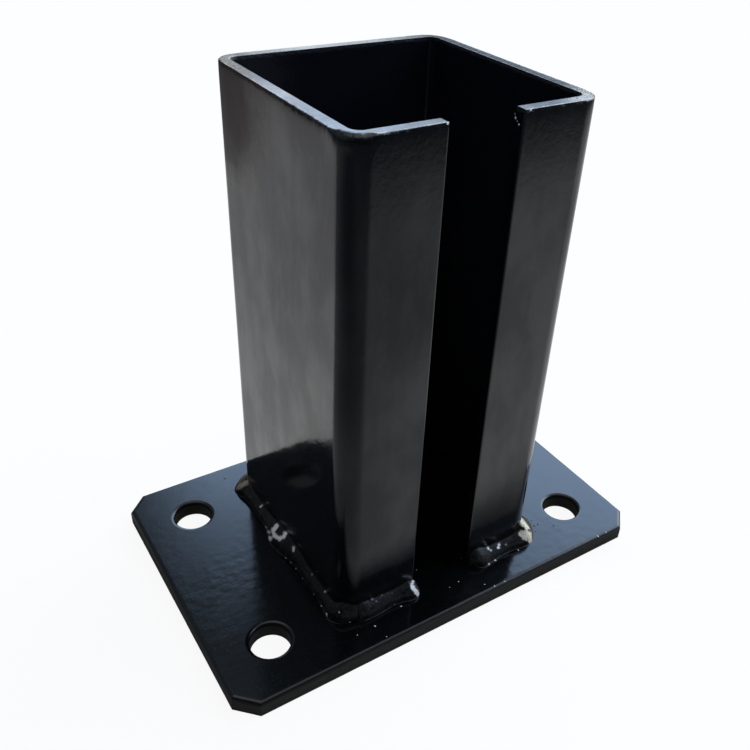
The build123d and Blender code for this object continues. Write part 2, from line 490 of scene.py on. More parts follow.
class Rim:
    """Shape and wear of the sleeve's sawn rim, as numbers for each place round the sheet."""

    def __init__(self, places, fold):
        x, y = places[:, 0], places[:, 1]
        half = sleeve_high.x
        jags = rough_along(places, 0.8 * MM, 14)
        teeth = rough_along(places, 0.5 * MM, 16)
        burr = 0.6 * rough_along(places, 0.7 * MM, 1) + 0.4 * rough_along(places, 3.1 * MM, 2)
        nick = np.maximum(0, rough_along(places, 1.6 * MM, 5) - 0.45)
        front_left = (x < 0) & (y < 0)
        right_lip = (x > 0) & (y < -0.9 * half)
        near_front = ramp(y, *SHEARED_FROM_BACK)
        on_lip = ramp(x, -half, BEND_RADIUS - half) * (y < BEND_RADIUS - half)
        sheared = near_front * ramp(x, *SHEARED_FROM_RIGHT) * (1 - 0.5 * on_lip)
        self.right_side = ramp(x, 0.80 * half, 0.95 * half)
        self.outer_radius = RIM_EDGE_RADIUS * (1 + BURR_SHARE * burr + NICK_SHARE * nick)
        self.outer_radius += FOLD_RADIUS * fold * np.where(front_left, 1, OTHER_FOLD_SHARE)
        self.outer_radius += WORN_RADIUS * sheared * (1 + 0.4 * jags + 1.1 * teeth)
        self.inner_radius = RIM_EDGE_RADIUS * (1 + 0.4 * rough_along(places, 0.9 * MM, 11))
        self.lean = LEAN + (FOLD_LEAN - LEAN) * fold * np.where(front_left, 1, OTHER_FOLD_LEAN_SHARE)
        self.lean *= 1 + 0.5 * jags
        self.lean_power = LEAN_POWER + (FOLD_LEAN_POWER - LEAN_POWER) * fold
        self.slope = RIM_SLOPE * np.where(right_lip, RIGHT_LIP_SLOPE_SHARE, self.right_side)
        self.slope += SHEARED_SLOPE * sheared * (1 - fold)
        self.wear = np.clip(0.55 + 1.6 * rough_along(places, 2.3 * MM, 12), 0, 1) * (1 - 0.8 * fold)
        self.wear = np.minimum(1, self.wear + np.where(right_lip, 0.35, 0.6 * self.right_side))
        self.wear *= 1 - 0.9 * near_front * (x < -0.9 * half)
        corner = np.array((1, -1)) * (half - BEND_RADIUS / 2)
        from_front_right = np.hypot(*(places[:, :2] - corner).T)
        from_back_left = np.hypot(*(places[:, :2] + corner).T)
        scuffed = 0.56 * ramp(from_back_left, *SCUFFED_CORNER) * (1 + 0.6 * jags)
        self.bare = 0.7 * np.maximum(ramp(from_front_right, *BARE_CORNER), scuffed)
        self.inner_chip = ramp(from_back_left, *INNER_CHIP) * (1 + 0.6 * teeth)

    def bare_in_row(self, row):
        """How bare one row of the sawn face is, from row 0 at its outer edge to the last at its inner one."""
        chip = np.maximum(self.wear * max(0.0, 0.8 - 0.5 * row), self.bare)
        if row > CUT_FACE_ROWS - 3:
            chip = np.maximum(chip, self.inner_chip)
        if row == CUT_FACE_ROWS:
            chip = np.maximum(chip, 0.6 * self.right_side * self.wear)
        return chip


def curl_at(place, height):
    """1 at the rim and 0 below the curl of the paint under it."""
    fold = BEND_RADIUS - sleeve_high.x
    nearness = ramp(hypot(place[0] - fold, place[1] - fold), *CURL_SHORTER)
    reach = CURL_HEIGHT * (1 + 0.6 * rough((place[0], place[1], 0), 1.2 * MM, 15))
    return max(0.0, 1 - (sleeve_high.z - height) / (reach * max(CURL_LEAST_SHARE, nearness)))


def sleeve_mesh():
    """The folded sheet, closed at its two cut lips, its foot and its sawn rim."""
    stations = sheet_stations(STATION_STEP, SLOT_WIDTH / 2 + CUT_EDGE_RADIUS)
    places, outward, fold = (np.array(each) for each in zip(*stations))
    rim = Rim(places, fold)
    count = len(stations)
    points, faces = [], []
    carried = {"cut_edge": [], "chips_and_highlights": [], "inner_skin": [], "curl": []}

    def add_points(rows, heights, cut, chip, skin):
        first = len(points)
        points.extend((row[0], row[1], height) for row, height in zip(rows, heights))
        carried["cut_edge"].extend([cut] * len(rows))
        carried["chips_and_highlights"].extend(chip)
        carried["inner_skin"].extend(skin)
        carried["curl"].extend(curl_at(row, height) for row, height in zip(rows, heights))
        return list(range(first, len(points)))

    def lip_end(end, outer_inset, inner_inset):
        """Points round a lip's cut end, from the outer skin to the inner one."""
        reach = CUT_EDGE_RADIUS
        onward = np.array((-np.sign(places[end][0]), 0, 0))
        outer = places[end] - outward[end] * (outer_inset[end] + reach)
        inner = places[end] - outward[end] * (SHEET - inner_inset[end] - reach)
        turns = [pi / 2 * step / CORNER_STEPS for step in range(1, CORNER_STEPS + 1)]
        rows = [outer + reach * (outward[end] * cos(turn) + onward * sin(turn)) for turn in turns]
        for row in range(1, CUT_FACE_ROWS):
            rows.append(outer + (inner - outer) * row / CUT_FACE_ROWS + onward * reach)
        rows += [inner + reach * (onward * sin(turn) - outward[end] * cos(turn)) for turn in reversed(turns)]
        return rows

    def ring(outer_inset, inner_inset, outer_heights, inner_heights, cut=0.0, chip=0.0):
        """Closed loop round the sheet: outer skin, left lip's end, inner skin and right lip's end."""
        outer = places - outward * outer_inset[:, None]
        inner = places - outward * (SHEET - inner_inset)[:, None]
        left = lip_end(-1, outer_inset, inner_inset)
        right = lip_end(0, outer_inset, inner_inset)
        rows = [*outer, *left, *inner[::-1], *right[::-1]]
        heights = [*outer_heights, *[outer_heights[-1]] * len(left)]
        heights += [*inner_heights[::-1], *[inner_heights[0]] * len(right)]
        chips = [*(rim.wear * chip), *[0.0] * (len(rows) - count)]
        skin = [*[0.0] * (count + len(left)), *[1.0] * count, *[0.0] * len(right)]
        return add_points(rows, heights, cut, chips, skin)

    def close_end(outer_inset, inner_inset, height, at_rim):
        """Face across the sheet's thickness. At the rim it slopes and is worn."""
        across = []
        for row in range(CUT_FACE_ROWS + 1):
            share = row / CUT_FACE_ROWS
            depth = outer_inset + (SHEET - inner_inset - outer_inset) * share
            heights = height - at_rim * rim.slope * (1 - share)
            rows = places - outward * depth[:, None]
            across.append(add_points(rows, heights, at_rim, at_rim * rim.bare_in_row(row), [0.0] * count))
        for near, far in zip(across, across[1:]):
            for here in range(count - 1):
                face = (near[here], near[here + 1], far[here + 1], far[here])
                faces.append(face if at_rim else face[::-1])

    foot, top = sleeve_low.z, sleeve_high.z
    band_foot = top - TOP_BAND
    sharp = np.zeros(count)
    level = np.ones(count)
    rings = []
    for row in range(WALL_ROWS):
        height = (foot + (band_foot - foot) * row / (WALL_ROWS - 1)) * level
        rings.append(ring(sharp, sharp, height, height))
    for row in range(1, TOP_BAND_ROWS + 1):
        share = 1 - (1 - row / TOP_BAND_ROWS) ** 2
        outer_heights = band_foot + (TOP_BAND - rim.outer_radius - rim.slope) * share
        inner_heights = band_foot + (TOP_BAND - rim.inner_radius) * share
        lean = rim.lean * share**rim.lean_power
        rings.append(ring(lean, sharp, outer_heights, inner_heights, cut=0.3 * share**8))
    for step in range(1, ROUNDING_STEPS + 1):
        share = step / ROUNDING_STEPS
        inset, drop = 1 - cos(pi / 2 * share), 1 - sin(pi / 2 * share)
        rings.append(ring(
            rim.lean + rim.outer_radius * inset,
            rim.inner_radius * inset,
            top - rim.slope - rim.outer_radius * drop,
            top - rim.inner_radius * drop,
            cut=0.3 + 0.7 * share,
            chip=max(0.0, share - 0.3),
        ))
    for lower, upper in zip(rings, rings[1:]):
        join_loops(faces, lower, upper)
    close_end(rim.lean + rim.outer_radius, rim.inner_radius, top * level, at_rim=1.0)
    close_end(sharp, sharp, foot * level, at_rim=0.0)
    mesh = new_mesh("sleeve", points, faces, carried)
    tidy_mesh(mesh)
    wave_walls(mesh)
    return mesh


def tidy_mesh(mesh):
    """Merges points that meet and turns every face outwards."""
    shape = bmesh.new()
    shape.from_mesh(mesh)
    bmesh.ops.remove_doubles(shape, verts=shape.verts, dist=0.002 * MM)
    bmesh.ops.dissolve_degenerate(shape, edges=shape.edges, dist=0.001 * MM)
    bmesh.ops.recalc_face_normals(shape, faces=shape.faces)
    shape.to_mesh(mesh)
    shape.free()


def wave_walls(mesh):
    """Moves the walls inwards by a slow wave."""
    points = points_of(mesh)
    for point in points:
        wave = WALL_WAVE * (1 + rough(point, WALL_WAVE_LENGTH, 3)) / 2
        shrink = 1 - wave / max(abs(point[0]), abs(point[1]))
        point[:2] *= shrink
    mesh.vertices.foreach_set("co", points.ravel())


# Plate

PLATE_STEP = 1.2 * MM
CORNER_STEP = 0.25 * MM
HOLE_STEPS = 72
DENT_DEPTH = 0.08 * MM
DENT_LENGTH = 5 * MM
FINE_DENT_LENGTH = 1.6 * MM
# Flat strips inside the rounded edges, which keep the shading of the big faces even
EDGE_STRIP = 0.4 * MM
HOLE_STRIP = 0.3 * MM


def plate_outline(inset):
    """Corners of the plate's outline, counter-clockwise, moved in by a distance."""
    reach_x = plate_high.x - inset
    reach_y = plate_high.y - inset
    cut = CORNER_CUT - inset * (2 - sqrt(2))
    corners = []
    for quarter, (sign_x, sign_y) in enumerate(((1, 1), (-1, 1), (-1, -1), (1, -1))):
        pair = [(sign_x * reach_x, sign_y * (reach_y - cut)), (sign_x * (reach_x - cut), sign_y * reach_y)]
        corners += pair if quarter % 2 == 0 else pair[::-1]
    return corners


def side_shares(length):
    """Where the points of one side lie, as shares of its length, with one close to each corner."""
    steps = max(2, round(length / PLATE_STEP))
    near = CORNER_STEP / length
    return [0.0, near, *[step / steps for step in range(1, steps)], 1 - near]


def plate_mesh():
    """Flat plate with its corners cut off, rounded top edge and four rounded holes."""
    shape = bmesh.new()
    outline = plate_outline(0)
    lengths = [hypot(b[0] - a[0], b[1] - a[1]) for a, b in zip(outline, outline[1:] + outline[:1])]

    def edge_ring(inset, height):
        corners = plate_outline(inset)
        ring = []
        for here, there, length in zip(corners, corners[1:] + corners[:1], lengths):
            for share in side_shares(length):
                x = here[0] + (there[0] - here[0]) * share
                y = here[1] + (there[1] - here[1]) * share
                place = Vector((x, y, height))
                dent = 1 + rough(place, DENT_LENGTH, 4) + 0.5 * rough(place, FINE_DENT_LENGTH, 6)
                inwards = -place.xy.normalized() * max(0.0, DENT_DEPTH * dent / 2)
                ring.append(shape.verts.new((x + inwards.x, y + inwards.y, height)))
        return ring

    def hole_ring(centre, inset, height):
        radius = HOLE_RADIUS + inset
        turns = [2 * pi * step / HOLE_STEPS for step in range(HOLE_STEPS)]
        return [
            shape.verts.new((centre[0] + radius * cos(turn), centre[1] + radius * sin(turn), height))
            for turn in turns
        ]

    def side(ring, foot_break, radius, strip):
        """Faces from the foot up over the rounded top edge, and the rings that end them."""
        rings = [ring(foot_break, plate_low.z), ring(0, plate_low.z + foot_break)]
        for step in range(ROUNDING_STEPS + 1):
            turn = pi / 2 * step / ROUNDING_STEPS
            rings.append(ring(radius * (1 - cos(turn)), plate_high.z - radius * (1 - sin(turn))))
        rings.append(ring(radius + strip, plate_high.z))
        for lower, upper in zip(rings, rings[1:]):
            for here in range(len(lower)):
                there = (here + 1) % len(lower)
                shape.faces.new((lower[here], lower[there], upper[there], upper[here]))
        return rings[0], rings[-1]

    def fill(loops, normal):
        edges = []
        for loop in loops:
            for here, there in zip(loop, loop[1:] + loop[:1]):
                edges.append(shape.edges.get((here, there)) or shape.edges.new((here, there)))
        bmesh.ops.triangle_fill(shape, use_beauty=True, edges=edges, normal=normal)

    sides = [side(edge_ring, PLATE_FOOT_BREAK, PLATE_EDGE_RADIUS, EDGE_STRIP)]
    for centre in HOLE_PLACES:
        sides.append(side(partial(hole_ring, centre), HOLE_FOOT_BREAK, HOLE_RIM_RADIUS, HOLE_STRIP))
    foot_loops, top_loops = zip(*sides)
    fill(top_loops, Vector(UP))
    fill(foot_loops, -Vector(UP))
    bmesh.ops.recalc_face_normals(shape, faces=shape.faces)
    mesh = bpy.data.meshes.new("plate")
    shape.to_mesh(mesh)
    shape.free()
    return mesh


# Places in the photograph

def camera_turn():
    turn = Matrix.Rotation(CAMERA_HEADING, 4, "Z") @ Matrix.Rotation(pi / 2 + CAMERA_TILT, 4, "X")
    return turn @ Matrix.Rotation(CAMERA_ROLL, 4, "Z")


CAMERA_TURN = camera_turn().to_3x3()
PIXELS_PER_SLOPE = PHOTO_SIZE * CAMERA_LENS / CAMERA_SENSOR
PHOTO_MIDDLE = Vector((0.5 - CAMERA_SHIFT[0], 0.5 + CAMERA_SHIFT[1])) * PHOTO_SIZE


def ray_at(pixel):
    """Direction from the camera through a pixel of the photograph."""
    slope = (Vector(pixel) - PHOTO_MIDDLE) / PIXELS_PER_SLOPE
    return (CAMERA_TURN @ Vector((slope.x, -slope.y, -1))).normalized()


def pixel_of(point):
    """Pixel of the photograph that shows a point."""
    seen = CAMERA_TURN.transposed() @ (Vector(point) - CAMERA_PLACE)
    return PHOTO_MIDDLE + Vector((seen.x, -seen.y)) * PIXELS_PER_SLOPE / -seen.z


# Welds

BEADS = ("weld_left_wall", "weld_left_lip", "weld_right_lip", "weld_right_wall", "weld_back_wall")
BEAD_STEP = 0.19 * MM
BEAD_LONGEST_LEG = 12 * MM
BEAD_LEAST_LEG = 0.1 * MM
SLOT_OVERRUN = 3 * MM
FAN_STEPS = 28
FAN_START = radians(2)
BEAD_SMOOTHING = 1.6 * MM
CROWN_HEIGHT = 0.30 * MM
LUMP_HEIGHT = 0.34 * MM
LUMP_LENGTH = 3.2 * MM
LUMP_FULL_LEG = 3 * MM
ROLL_HEIGHT = 0.15 * MM
ROLL_LENGTH = 9 * MM
ROLL_MIDDLE = radians(38)
RIPPLE_HEIGHT = 0.012 * MM
RIPPLE_LENGTH = 1.4 * MM
# Round a bead, one radian counts as this length in the noise of its lumps and of its ripples
LUMP_TURN = 3 * MM
RIPPLE_TURN = 0.6 * MM
CHIP_DEPTH = 0.05 * MM
# Thin run of paint past each toe: how far along the steel, and how far off it
TOE_RUN = [(0.10 * MM, 0.050 * MM), (0.22 * MM, 0.018 * MM), (0.36 * MM, 0.004 * MM), (0.40 * MM, -0.12 * MM)]
ROOT_DEPTH = 0.2 * MM
# A bead's end closes over this length, down to these shares of its size
END_CLOSING = [(0.14 * MM, 0.93), (0.26 * MM, 0.78), (0.36 * MM, 0.55), (0.42 * MM, 0.25)]

# Where the paint is gone from the beads in the photograph, and painted highlights for their glints: half
# width, how bare or bright, and the places, in pixels
CHIP_AND_HIGHLIGHT_STROKES = [
    (1.9, 1.0, [
        (276.5, 525.6), (273.2, 530.2), (274.2, 535.3), (279.6, 538.7), (284.0, 536.3), (284.9, 533.0),
    ]),
    (1.4, 0.9, [(268.7, 532.2)]),
    (1.7, 1.0, [(269.9, 537.4), (270.2, 539.0)]),
    (1.1, 0.6, [(265.8, 527.1)]),
    # The next stroke is a painted highlight on the left wall's bead
    (0.8, 0.8, [(260.4, 507.0), (262.2, 505.2)]),
    (1.2, 0.9, [(293.8, 547.8), (293.4, 550.2)]),
    # The next two strokes are painted highlights on the toe of the left wall's bead
    (0.8, 0.6, [(311.7, 574.1)]),
    (0.8, 0.6, [(324.8, 591.4)]),
    # The next four strokes are a painted bronze highlight at the back left end of the left wall's bead
    (2.3, 0.75, [(238.6, 487.4), (242.0, 485.0), (246.6, 482.6)]),
    (0.7, 1.0, [(236.8, 489.6), (238.2, 488.4)]),
    (0.6, 1.0, [(240.5, 483.9), (247.6, 480.9)]),
    (0.7, 0.55, [(249.8, 484.0)]),
    (1.2, 0.9, [(413.0, 581.6), (411.6, 585.6)]),
    (2.0, 1.0, [(412.6, 587.0), (415.4, 591.0), (418.4, 594.4)]),
    # The next four strokes are faint painted highlights on the left lip's bead
    (0.7, 0.25, [(372.4, 598.9)]),
    (0.7, 0.25, [(376.5, 601.2)]),
    (0.6, 0.25, [(382.0, 594.5)]),
    (0.6, 0.2, [(392.2, 592.9)]),
    (0.7, 1.0, [(487.6, 547.2), (489.0, 549.1), (491.0, 550.5)]),
    # The next two strokes are painted highlights by the start of the right lip's bead
    (1.1, 0.9, [(499.2, 544.6), (498.4, 547.6)]),
    (0.8, 0.4, [(505.9, 544.6)]),
    (3.0, 0.9, [(522.0, 517.5), (523.2, 524.0)]),
    (4.0, 0.9, [(525.0, 521.0), (527.6, 526.5), (528.6, 531.0)]),
    (3.9, 1.0, [(524.4, 531.5), (528.2, 535.6)]),
    (2.6, 1.0, [(530.4, 538.5), (530.6, 541.0)]),
    (2.8, 1.0, [(521.6, 533.6), (525.8, 538.0)]),
]
# Dark pits within the largest of them
PIT_STROKES = [
    (1.7, 1.0, [(522.0, 528.7), (523.8, 529.2)]),
    (1.4, 1.0, [(529.2, 530.2), (530.6, 530.8)]),
]
# Two noises make the strokes' edges ragged: depth in pixels, fineness and layer
RAG_NOISES = ((0.9, 0.55, 0), (0.8, 1.3, 9))


def stroke_share(pixel, strokes):
    """1 within a stroke and 0 outside all of them, with a ragged edge."""
    rag = 0.0
    for depth, fineness, layer in RAG_NOISES:
        rag += depth * noise.noise(Vector((pixel.x, pixel.y, layer)) * fineness)
    share = 0.0
    for half_width, strength, places in strokes:
        ends = [Vector(place) for place in places]
        for start, stop in zip(ends, ends[1:] or ends):
            along = stop - start
            reach = (pixel - start).dot(along) / max(along.length_squared, 1e-9)
            gap = (pixel - start - along * min(1.0, max(0.0, reach))).length
            share = max(share, strength * min(1.0, half_width + rag - gap + 0.5))
    return share


# Toes of the beads, traced in the photograph: on the plate and on the sleeve, in pixels
PLATE_TOES = {
    "weld_left_wall": [
        (234.4, 492.5), (238.0, 495.2), (243.7, 497.1), (253.3, 509.4), (261.0, 520.6), (264.8, 526.2),
        (267.0, 533.0), (268.6, 541.0), (271.5, 545.5), (281.6, 555.3), (286.2, 558.3), (290.8, 562.6),
        (296.2, 568.7), (302.3, 578.2), (313.8, 593.6), (321.4, 606.2), (325.0, 614.6), (326.5, 618.5),
        (330.6, 621.9), (339.8, 624.4), (347.0, 623.6), (352.0, 621.0),
    ],
    "weld_left_lip": [
        (349.8, 622.4), (356.7, 621.6), (365.1, 621.2), (373.5, 617.4), (383.5, 612.0), (393.4, 605.9),
        (402.6, 602.4), (411.0, 601.0), (418.7, 597.1), (421.0, 593.0),
    ],
    "weld_right_lip": [
        (471.5, 557.4), (471.8, 564.5), (475.0, 567.6), (482.4, 568.0), (486.9, 566.6), (489.4, 563.8),
        (495.2, 560.0), (502.2, 555.5), (511.1, 551.0), (517.5, 549.0), (522.0, 547.8), (528.3, 545.3),
        (531.5, 543.6), (533.6, 537.6), (533.0, 528.1), (529.0, 521.0), (523.6, 514.6),
    ],
}
SLEEVE_TOES = {
    "weld_left_wall": [
        (251.0, 485.7), (257.1, 495.6), (263.3, 504.8), (269.0, 512.4), (276.5, 521.0), (281.5, 525.6),
        (287.0, 532.3), (293.9, 542.3), (302.3, 555.3), (307.6, 565.2), (313.8, 573.7), (323.7, 587.4),
        (331.4, 598.9), (336.0, 602.6), (341.4, 601.5), (352.1, 605.1),
    ],
    "weld_left_lip": [
        (345.0, 603.0), (355.2, 605.9), (362.8, 601.7), (372.0, 598.6), (382.0, 594.4), (392.7, 589.8),
        (400.3, 585.6), (406.5, 581.4), (411.0, 580.3), (416.0, 580.7),
    ],
    "weld_right_lip": [
        (470.5, 554.5), (475.5, 549.0), (480.5, 547.0), (486.3, 546.9), (492.0, 544.0), (502.2, 539.8),
        (512.4, 534.4), (517.5, 530.3), (520.0, 522.0), (523.6, 514.6),
    ],
}
TOE_SEARCH = 11 * MM
TOE_SMOOTHING = 5
# How much shorter or longer than in the CAD node a traced bead's leg may be
TOE_LEAST_SHARE = 0.35
TOE_MOST_SHARE = 1.6


def way_to_toe(root, way, toe):
    """How far from a root, along a way, the traced toe lies. None where the tracing doesn't cross it."""
    start, stop = pixel_of(root), pixel_of(root + way * TOE_SEARCH)
    for here, there in zip(toe, toe[1:]):
        met = intersect_line_line_2d(start, stop, Vector(here), Vector(there))
        if met:
            ahead = ray_at(met)
            across = way.cross(ahead).cross(ahead)
            return (CAMERA_PLACE - root).dot(across) / way.dot(across)
    return None


def toe_shares(sections, toe, way_of, last):
    """Along the bead, how much nearer or farther than in the CAD node the traced toe lies."""
    if not toe:
        return np.ones(len(sections))
    shares = {}
    for index, (root, outward, fan) in enumerate(sections):
        gap = way_to_toe(root, way_of(outward), toe)
        if gap is not None:
            share = (gap - TOE_RUN[2][0]) / fan[last][1]
            shares[index] = min(TOE_MOST_SHARE, max(TOE_LEAST_SHARE, share))
    filled = np.interp(range(len(sections)), list(shares), list(shares.values()))
    return smoothed(filled[:, None], TOE_SMOOTHING)[:, 0]


def bead_sections(node):
    """Fans of distances from the sleeve's foot to the node's surface, one at each place that has a bead."""
    solid = BVHTree.FromObject(frame["nodes"][node], bpy.context.evaluated_depsgraph_get())
    turns = [FAN_START + (pi / 2 - 2 * FAN_START) * step / FAN_STEPS for step in range(FAN_STEPS + 1)]
    stations, fans = [], []
    for place, outward, _ in sheet_stations(BEAD_STEP, SLOT_WIDTH / 2 - SLOT_OVERRUN):
        root = Vector((place.x, place.y, plate_high.z))
        gaps = []
        for turn in turns:
            way = outward * sin(turn) + Vector(UP) * cos(turn)
            gaps.append(solid.ray_cast(root + way * BEAD_LEAST_LEG, way, BEAD_LONGEST_LEG)[3])
        if None not in gaps:
            stations.append((root, outward))
            fans.append([gap + BEAD_LEAST_LEG for gap in gaps])
    fans = smoothed(np.array(fans), round(BEAD_SMOOTHING / BEAD_STEP))
    sections = [(root, outward, list(zip(turns, fan))) for (root, outward), fan in zip(stations, fans)]
    on_plate = toe_shares(sections, PLATE_TOES.get(node), lambda outward: outward, -1)
    on_sleeve = toe_shares(sections, SLEEVE_TOES.get(node), lambda outward: Vector(UP), 0)
    fitted = []
    for (root, outward, fan), low, high in zip(sections, on_plate, on_sleeve):
        fan = [(turn, reach * (high + (low - high) * turn / (pi / 2))) for turn, reach in fan]
        fitted.append((root, outward, fan))
    return fitted


def closed_ends(sections):
    """The bead's sections with some smaller ones past both ends."""
    closings = []
    for end, inner in ((0, 1), (-1, -2)):
        root, outward, fan = sections[end]
        onward = (root - sections[inner][0]).normalized()
        closings.append([
            (root + onward * past, outward, [(turn, reach * share) for turn, reach in fan])
            for past, share in END_CLOSING
        ])
    return closings[0][::-1] + sections + closings[1]


def bead_profile(root, fan):
    """One section of the bead as steps outwards and upwards, from its toe on the sleeve round to its root."""
    roll = ROLL_HEIGHT * max(0.0, rough(root, ROLL_LENGTH, 21) + 0.35)
    crown = []
    for turn, reach in fan:
        lump = LUMP_HEIGHT * rough((root.x, root.y, turn * LUMP_TURN), LUMP_LENGTH, 9)
        ripple = RIPPLE_HEIGHT * rough((root.x, root.y, turn * RIPPLE_TURN), RIPPLE_LENGTH, 8)
        swell = CROWN_HEIGHT + lump * min(1.0, reach / LUMP_FULL_LEG) + roll * cos(4 * (turn - ROLL_MIDDLE))
        reach += swell * sin(2 * turn) + ripple
        crown.append((reach * sin(turn), reach * cos(turn)))
    up_wall = [(off, crown[0][1] + along) for along, off in reversed(TOE_RUN)]
    on_plate = [(crown[-1][0] + along, off) for along, off in TOE_RUN]
    return [*up_wall, *crown, *on_plate, (-ROOT_DEPTH, -ROOT_DEPTH)]


def bead_mesh(node):
    """The node's bead, lumpier and faintly rippled, with thin toes, chips, painted highlights and its root
    set into the steel.
    """
    points, faces, chips_and_highlights, rings = [], [], [], []
    for root, outward, fan in closed_ends(bead_sections(node)):
        seen = (CAMERA_PLACE - root).normalized()
        first = len(points)
        for out, lift in bead_profile(root, fan):
            offset = outward * out + Vector(UP) * lift
            pixel = pixel_of(root + offset)
            # Bare chips, and pale painted highlights where the strokes stand for glints, both set a little
            # into the bead
            chip = stroke_share(pixel, CHIP_AND_HIGHLIGHT_STROKES) * (1 - stroke_share(pixel, PIT_STROKES))
            chip *= min(1.0, max(0.0, offset.normalized().dot(seen) * 6))
            points.append(root + offset - (outward + Vector(UP)) * CHIP_DEPTH * chip)
            chips_and_highlights.append(chip)
        rings.append(list(range(first, len(points))))
    for lower, upper in zip(rings, rings[1:]):
        join_loops(faces, lower, upper)
    faces += [rings[0], rings[-1][::-1]]
    mesh = new_mesh(node, points, faces, {"chips_and_highlights": chips_and_highlights})
    tidy_mesh(mesh)
    return mesh


# Spatter

# Bright drops in the photograph: pixel and radius in millimetres. Most on the first three lines, along the
# toes of the left wall's and the left lip's beads, are painted highlights
DROPS = [
    ((285.9, 558.0), 0.30), ((291.1, 562.3), 0.24), ((296.1, 568.5), 0.30), ((302.6, 578.6), 0.26),
    ((313.8, 594.0), 0.24), ((321.4, 605.9), 0.36), ((326.8, 614.7), 0.55), ((339.3, 612.4), 0.26),
    ((349.7, 622.2), 0.34), ((394.7, 604.4), 0.34), ((401.1, 606.3), 0.28), ((375.0, 626.1), 0.30),
    ((357.5, 635.0), 0.22), ((386.5, 636.6), 0.20), ((416.4, 570.0), 0.18), ((461.3, 558.1), 0.22),
    ((458.5, 581.5), 0.24), ((449.6, 587.4), 0.20), ((484.7, 584.3), 0.20), ((494.5, 586.2), 0.26),
    ((495.0, 560.3), 0.42), ((489.0, 564.1), 0.46), ((518.2, 550.1), 0.30), ((504.6, 581.6), 0.20),
    ((447.5, 122.5), 0.40), ((530.7, 110.0), 0.32), ((515.6, 117.6), 0.34), ((518.8, 124.4), 0.36),
    ((517.2, 121.2), 0.18), ((514.8, 113.8), 0.16), ((598.0, 536.2), 0.28), ((606.0, 532.4), 0.24),
]
BLACK_DROPS = [
    ((537.8, 524.2), 0.36), ((531.4, 520.4), 0.28), ((534.3, 526.1), 0.32), ((535.6, 531.3), 0.30),
    ((250.0, 660.0), 0.30), ((226.0, 652.0), 0.26), ((560.0, 530.0), 0.24), ((575.0, 521.0), 0.20),
]
HIDDEN_DROPS = 26
HIDDEN_GAP = 3 * MM
HIDDEN_REACH = 14 * MM
HIDDEN_LEAST_RADIUS = 0.16
HIDDEN_MORE_RADIUS = 0.22
DROP_SINK = 0.35
DROP_SHARE = 0.85
DROP_SQUAT = 0.7
DROP_LUMPS_PER_METRE = 4000


def drop_points(centre, normal, radius, chance):
    """A squat, uneven drop on a surface."""
    shape = bmesh.new()
    bmesh.ops.create_icosphere(shape, subdivisions=2, radius=1)
    turn = normal.to_track_quat("Z", "Y").to_matrix()
    long_side = 1 + 0.9 * chance.random()
    spin = Matrix.Rotation(2 * pi * chance.random(), 3, "Z")
    for vert in shape.verts:
        lump = 1 + 0.5 * noise.noise(vert.co * 1.3 + centre * DROP_LUMPS_PER_METRE)
        size = radius * lump * DROP_SHARE
        squat = Vector((vert.co.x * long_side, vert.co.y, vert.co.z * DROP_SQUAT)) * size
        place = centre + turn @ (spin @ squat) - normal * radius * DROP_SQUAT * DROP_SINK
        vert.co = (max(low, min(high, along)) for low, along, high in zip(cad_box[0], place, cad_box[1]))
    points = [vert.co.copy() for vert in shape.verts]
    faces = [[vert.index for vert in face.verts] for face in shape.faces]
    shape.free()
    return points, faces


def hidden_ray(chance):
    """Ray down to the plate by the right or the back wall, which the photograph hides, and a radius."""
    on_right = chance.random() < 0.5
    along = 2 * chance.random() - 1
    side = Vector((1, along)) if on_right else Vector((along, 1))
    spot = side * (sleeve_high.x + HIDDEN_GAP) + side * HIDDEN_REACH * chance.random() ** 2
    above = Vector((spot.x, min(spot.y, plate_high.y - HIDDEN_GAP), sleeve_high.z))
    radius = HIDDEN_LEAST_RADIUS + HIDDEN_MORE_RADIUS * chance.random() ** 2
    return above, -Vector(UP), radius * MM


def spatter_mesh(name, drops, pieces, chance, hidden=0):
    """Drops where the photograph shows them, and some round the welds that it doesn't show."""
    graph = bpy.context.evaluated_depsgraph_get()
    trees = [BVHTree.FromObject(piece, graph) for piece in pieces]
    rays = [(CAMERA_PLACE, ray_at(pixel), radius * MM) for pixel, radius in drops]
    rays += [hidden_ray(chance) for _ in range(hidden)]
    points, faces = [], []
    for start, way, radius in rays:
        hits = [hit for hit in (tree.ray_cast(start, way) for tree in trees) if hit[0]]
        place, normal = min(hits, key=lambda hit: hit[3])[:2]
        more_points, more_faces = drop_points(place, normal, radius, chance)
        faces += [[index + len(points) for index in face] for face in more_faces]
        points += more_points
    return new_mesh(name, points, faces)


# Stage

def add_camera():
    lens = bpy.data.cameras.new("camera")
    lens.lens = CAMERA_LENS
    lens.sensor_width = CAMERA_SENSOR
    lens.shift_x, lens.shift_y = CAMERA_SHIFT
    lens.clip_start = 0.01
    camera = bpy.data.objects.new("camera", lens)
    camera.matrix_world = Matrix.Translation(CAMERA_PLACE) @ CAMERA_TURN.to_4x4()
    bpy.context.scene.collection.objects.link(camera)
    bpy.context.scene.camera = camera


FLOOR_REACH = 6.0
FLOOR_DROP = 0.05 * MM
# The rest of the floor's colour is plain matte, so that it keeps the object's shadow
FLOOR_WHITE_SHARE = 0.92
MATTE_LEVEL = 0.85
# Level of the floor in reflections, painted light and shade: left and right of the object, and how much less
# it is elsewhere, painted shade in front and far off
FLOOR_LEFT = 0.82
FLOOR_RIGHT = 1.0
FRONT_LEFT_DROP = 0.62
FRONT_DROP = 0.42
FAR_DROP = 0.14
